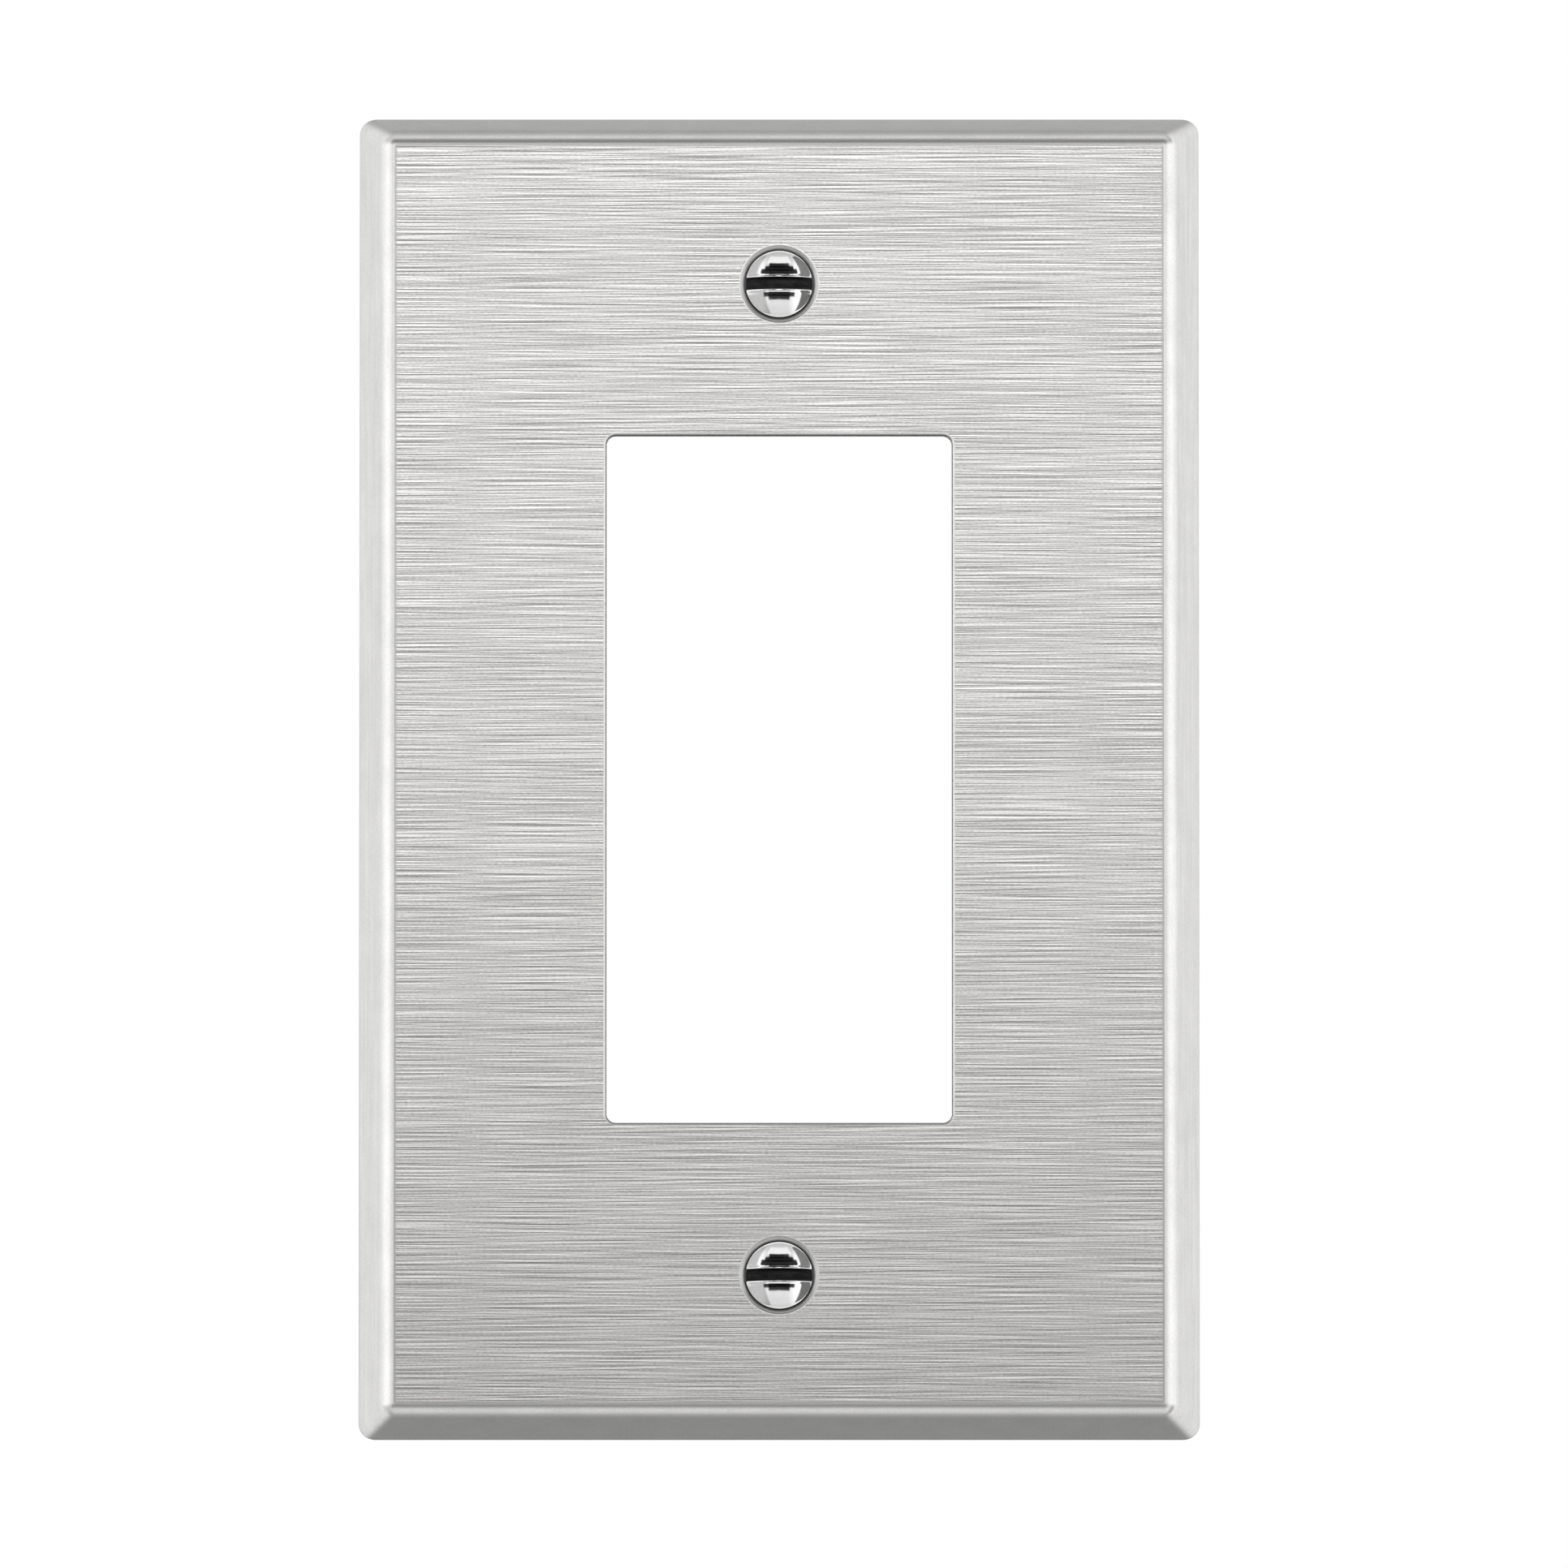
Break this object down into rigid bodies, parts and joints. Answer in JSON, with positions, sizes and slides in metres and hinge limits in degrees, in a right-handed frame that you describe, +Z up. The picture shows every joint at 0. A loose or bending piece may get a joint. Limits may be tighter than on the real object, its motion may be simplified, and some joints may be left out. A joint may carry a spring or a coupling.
{
  "type": "wall plate cover",
  "caption": "Stamped brushed-steel wall plate cover with a tall rectangular device opening and an oval-head slotted screw above and below it.",
  "frame": {"origin": "middle of the device opening, on the wall plane that the rim's back edge rests on, half way between the two screw axes", "axes": "+Z up along the plate's length, +X along its width, +Y out of the back into the wall; the brushed face looks along -Y"},
  "size_m": [0.0816, 0.0139, 0.1292],
  "materials": {
    "brushed_sheet": "face brushed along X, rim satin, back plain mill finish",
    "screw_steel": "bright polished head, plain bright thread"
  },
  "bodies": {
    "plate": {"wall_plate": "brushed_sheet"},
    "upper_screw": {"upper_screw": "screw_steel"},
    "lower_screw": {"lower_screw": "screw_steel"}
  },
  "joints": [
    {"name": "upper_screw_out", "type": "slide", "parent": "plate", "child": "upper_screw", "axis": [0, -1, 0], "range_m": [0, 0.015]},
    {"name": "lower_screw_out", "type": "slide", "parent": "plate", "child": "lower_screw", "axis": [0, -1, 0], "range_m": [0, 0.015]}
  ]
}
